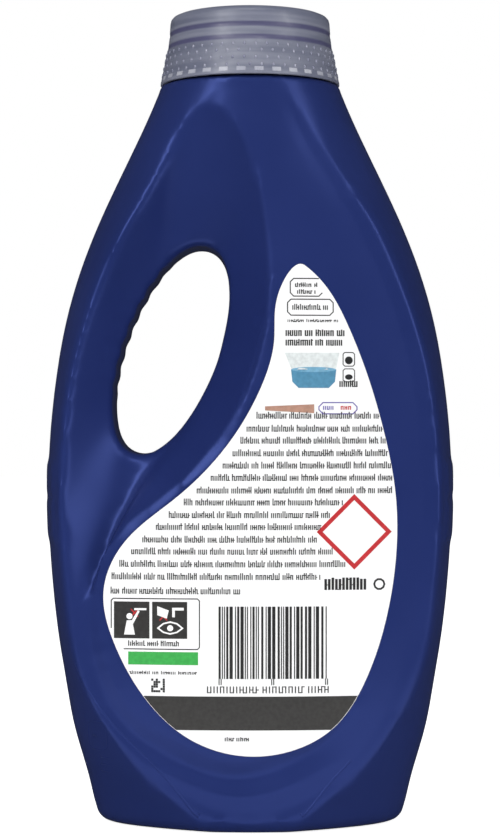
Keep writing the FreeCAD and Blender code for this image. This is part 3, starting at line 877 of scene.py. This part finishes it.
def make_mould_marks(shell, plastic):
    """Fine raised lines on the front: the corner creases and a small framed mark."""
    tree = skin_tree(shell)
    form = bmesh.new()
    crease = [(-51.6, 50.0), (-48.7, 43.6), (-44.9, 37.6), (-39.9, 31.6), (-34.8, 26.7),
              (-29.7, 21.9), (-24.5, 16.4), (-19.7, 10.5), (-16.6, 6.6), (-15.4, 5.6), (-14.9, 6.4)]
    bead(form, tree, crease, 0.9, 0.16)
    bead(form, tree, [(-x, z) for x, z in crease[5:]], 0.9, 0.14)
    bead(form, tree, [(-47.2, 23.8), (-43.6, 23.8), (-42.4, 25.0), (-42.4, 31.8), (-43.6, 33.0), (-47.2, 33.0),
                      (-48.4, 31.8), (-48.4, 25.0), (-47.2, 23.8)], 0.55, 0.12)
    bead(form, tree, [(-46.9, 28.4), (-45.5, 28.4)], 1.2, 0.16)
    for level in (21.6, 19.4, 17.2):
        bead(form, tree, [(-44.6, level), (-41.8, level)], 0.55, 0.12)
    bmesh.ops.recalc_face_normals(form, faces=form.faces)
    mesh = bpy.data.meshes.new("mould_marks")
    form.to_mesh(mesh)
    form.free()
    marks = new_object("mould_marks", mesh)
    shade_round(marks, 60)
    finish_piece(marks, plastic, "bottle", "blue_shell")


# Cap

CAP_PROFILE = [
    (0.0, 244.98), (21.4, 244.98), (22.6, 244.88), (23.5, 244.5), (24.05, 243.9), (24.28, 243.1),
    (24.50, 240.1), (24.42, 239.6), (24.44, 238.9), (24.62, 238.4), (24.86, 236.6),
    (24.92, 235.8), (25.06, 235.1), (25.32, 234.5), (27.05, 225.7), (27.30, 224.75),
    (27.32, 224.25), (27.15, 224.06), (26.30, 224.06), (26.12, 224.7), (24.55, 232.5),
    (24.20, 232.5), (24.20, 225.1), (23.20, 225.1), (23.20, 243.8), (20.20, 243.8),
    (20.20, 234.5), (19.20, 234.5), (19.20, 243.8), (0.0, 243.8),
]


def cap_radius(z):
    """Outside radius of the cap at a level."""
    outside = [p for p in CAP_PROFILE[1:17]]
    for (high_r, high_z), (low_r, low_z) in zip(outside, outside[1:]):
        if low_z <= z <= high_z:
            return low_r + (high_r - low_r) * (z - low_z) / (high_z - low_z)
    return outside[-1][0]


def make_cap():
    """Cap with its skirt and seal ring: one outline spun about the upright axis."""
    mesh = bpy.data.meshes.new("cap_shell")
    count = len(CAP_PROFILE)
    places = [(r * MM, 0, z * MM) for r, z in CAP_PROFILE]
    mesh.from_pydata(places, [(n, n + 1) for n in range(count - 1)], [])
    cap = new_object("cap_shell", mesh)
    only(cap)
    bpy.ops.object.mode_set(mode="EDIT")
    bpy.ops.mesh.select_all(action="SELECT")
    bpy.ops.mesh.spin(steps=144, angle=2 * math.pi, center=(0, 0, 0), axis=(0, 0, 1))
    bpy.ops.mesh.select_all(action="SELECT")
    bpy.ops.mesh.remove_doubles(threshold=0.001 * MM)
    bpy.ops.mesh.normals_make_consistent(inside=False)
    bpy.ops.object.mode_set(mode="OBJECT")
    shade_round(cap, 35)
    return cap


def make_cap_dots():
    """Raised grip dots in four staggered rows on the flared skirt."""
    dots = []
    bpy.ops.object.select_all(action="DESELECT")
    bpy.ops.mesh.primitive_ico_sphere_add(subdivisions=2, radius=1.0, location=(0, 0, 0))
    model = bpy.context.object
    template = [v.co.copy() for v in model.data.vertices]
    faces = [tuple(p.vertices) for p in model.data.polygons]
    bpy.data.objects.remove(model)
    places, polygons = [], []
    for row, z in enumerate((226.9, 229.1, 231.3, 233.2)):
        for number in range(48):
            turn = 2 * math.pi * (number + 0.5 * (row % 2)) / 48
            radius = cap_radius(z) - 0.02
            first = len(places)
            for point in template:
                out = radius + 0.22 * point.x
                side = 0.42 * point.y
                up = z + 0.62 * point.z - 0.195 * 0.22 * point.x
                places.append(((out * math.cos(turn) - side * math.sin(turn)) * MM,
                               (out * math.sin(turn) + side * math.cos(turn)) * MM, up * MM))
            polygons += [tuple(first + v for v in face) for face in faces]
    mesh = bpy.data.meshes.new("cap_grip_dots")
    mesh.from_pydata(places, [], polygons)
    piece = new_object("cap_grip_dots", mesh)
    shade_round(piece)
    return piece


def make_cap_lugs():
    """Pale lugs that show through the foot of the skirt."""
    places, polygons = [], []
    steps = 4
    for number in range(32):
        middle = 2 * math.pi * (number + 0.5) / 32
        first = len(places)
        for step in range(steps + 1):
            turn = middle + (step / steps - 0.5) * 2.7 / 27.0
            for z, rise in ((224.95, 0.03), (226.15, 0.03), (226.15, -0.3), (224.95, -0.3)):
                radius = cap_radius(z) + rise
                places.append((radius * math.cos(turn) * MM, radius * math.sin(turn) * MM, z * MM))
        for step in range(steps):
            at = first + 4 * step
            for corner in range(4):
                after = (corner + 1) % 4
                polygons.append((at + corner, at + 4 + corner, at + 4 + after, at + after))
        polygons.append((first, first + 1, first + 2, first + 3))
        last = first + 4 * steps
        polygons.append((last + 3, last + 2, last + 1, last))
    mesh = bpy.data.meshes.new("cap_lugs")
    mesh.from_pydata(places, [], polygons)
    piece = new_object("cap_lugs", mesh)
    only(piece)
    bpy.ops.object.mode_set(mode="EDIT")
    bpy.ops.mesh.select_all(action="SELECT")
    bpy.ops.mesh.normals_make_consistent(inside=False)
    bpy.ops.object.mode_set(mode="OBJECT")
    return piece


# Thread on the neck, seen when the cap is off

def make_thread():
    """Helical bead round the neck."""
    mesh = bpy.data.meshes.new("neck_thread")
    form = bmesh.new()
    steps, turns, start, pitch = 96, 1.25, 225.6, 4.2
    rings = []
    for step in range(steps + 1):
        turn = 2 * math.pi * turns * step / steps
        fade = min(1.0, step / 8, (steps - step) / 8)
        z = start + pitch * turns * step / steps
        profile = [(-0.25, -0.9), (0.9 * fade, -0.35), (0.9 * fade, 0.35), (-0.25, 0.9)]
        rings.append([
            form.verts.new(Vector(((NECK_RADIUS + r) * math.cos(turn), (NECK_RADIUS + r) * math.sin(turn), z + up)) * MM)
            for r, up in profile
        ])
    for first, second in zip(rings, rings[1:]):
        for corner in range(4):
            after = (corner + 1) % 4
            form.faces.new((first[corner], second[corner], second[after], first[after]))
    form.faces.new(rings[0])
    form.faces.new(reversed(rings[-1]))
    bmesh.ops.recalc_face_normals(form, faces=form.faces)
    form.to_mesh(mesh)
    form.free()
    thread = new_object("neck_thread", mesh)
    modify(thread, "BEVEL", width=0.0002, segments=2, limit_method="ANGLE")
    shade_round(thread, 50)
    return thread


# Stage, light and camera

def make_stage():
    """Pale floor, one flat plane."""
    bpy.ops.object.select_all(action="DESELECT")
    bpy.ops.mesh.primitive_plane_add(size=8, location=(0, 0, 0))
    floor = bpy.context.object
    floor.name = "floor"
    material = bpy.data.materials.new("pale_floor")
    material.use_nodes = True
    tree = material.node_tree
    shader = tree.nodes["Principled BSDF"]
    shader.inputs["Base Color"].default_value = (0.93, 0.93, 0.93, 1)
    shader.inputs["Roughness"].default_value = 0.7
    shader.inputs["Specular IOR Level"].default_value = 0.2
    rays = tree.nodes.new("ShaderNodeLightPath")
    glow = tree.nodes.new("ShaderNodeMath")
    glow.operation = "MULTIPLY"
    glow.inputs[1].default_value = 0.88
    tree.links.new(rays.outputs["Is Camera Ray"], glow.inputs[0])
    shader.inputs["Emission Color"].default_value = (1, 1, 1, 1)
    tree.links.new(glow.outputs["Value"], shader.inputs["Emission Strength"])
    floor.data.materials.append(material)
    floor.visible_glossy = False


def lamp(name, place, target, width, height, power):
    """Soft rectangular lamp aimed at a point, places in metres."""
    bpy.ops.object.light_add(type="AREA", location=place)
    made = bpy.context.object
    made.name = name
    made.data.shape = "RECTANGLE"
    made.data.size = width
    made.data.size_y = height
    made.data.energy = power
    aim = Vector(target) - Vector(place)
    made.rotation_euler = aim.to_track_quat("-Z", "Y").to_euler()
    return made


def make_light():
    """Large soft lamps and an even white surround."""
    world = bpy.data.worlds.new("surround")
    bpy.context.scene.world = world
    world.use_nodes = True
    tree = world.node_tree
    background = tree.nodes["Background"]
    background.inputs["Color"].default_value = (1, 1, 1, 1)
    rays = tree.nodes.new("ShaderNodeLightPath")
    level = tree.nodes.new("ShaderNodeMapRange")
    level.inputs["To Min"].default_value = 0.31
    level.inputs["To Max"].default_value = 1.0
    mirrored = tree.nodes.new("ShaderNodeMapRange")
    mirrored.inputs["To Min"].default_value = 1.0
    mirrored.inputs["To Max"].default_value = 0.12
    strength = tree.nodes.new("ShaderNodeMath")
    strength.operation = "MULTIPLY"
    tree.links.new(rays.outputs["Is Camera Ray"], level.inputs["Value"])
    tree.links.new(rays.outputs["Is Glossy Ray"], mirrored.inputs["Value"])
    tree.links.new(level.outputs["Result"], strength.inputs[0])
    tree.links.new(mirrored.outputs["Result"], strength.inputs[1])
    tree.links.new(strength.outputs["Value"], background.inputs["Strength"])
    lamp("key_lamp", (-0.75, -0.95, 0.85), (0, 0, 0.12), 0.5, 0.65, 7.4)
    lamp("fill_lamp", (0.95, -0.75, 0.45), (0, 0, 0.12), 0.35, 1.0, 4.4)
    lamp("top_lamp", (-0.05, -0.85, 1.1), (0, 0, 0.10), 0.9, 0.3, 4.4)
    lamp("floor_bounce", (0, -0.10, 0.003), (0, -0.085, 0.10), 0.30, 0.12, 0.13)


def make_camera():
    """Level camera straight in front of the label."""
    bpy.ops.object.camera_add(location=(0, -0.680, 0.1222), rotation=(math.radians(90), 0, 0))
    camera = bpy.context.object
    camera.data.sensor_width = 36
    camera.data.lens = 95.3
    camera.data.clip_start = 0.01
    bpy.context.scene.camera = camera


def dress_node(node, material):
    """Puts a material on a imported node."""
    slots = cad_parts[node].data.materials
    slots.clear()
    slots.append(material)


make_camera()
make_light()
make_stage()
bottle_shell = make_shell()
plastic = shell_plastic()
finish_piece(bottle_shell, plastic, "bottle", "blue_shell", "bottle")
thread = make_thread()
finish_piece(thread, plastic, "bottle", "blue_shell")
make_label()
make_print()
make_mould_marks(bottle_shell, plastic)
finish_piece(make_cap(), cap_plastic(), "cap", "cap_plastic", "dosing_cap")
finish_piece(make_cap_dots(), dot_highlight_plastic(), "cap", "cap_plastic")
finish_piece(make_cap_lugs(), lug_plastic(), "cap", "cap_plastic")
dress_node("pour_spout", spout_plastic())

bpy.context.scene.view_settings.view_transform = "Standard"
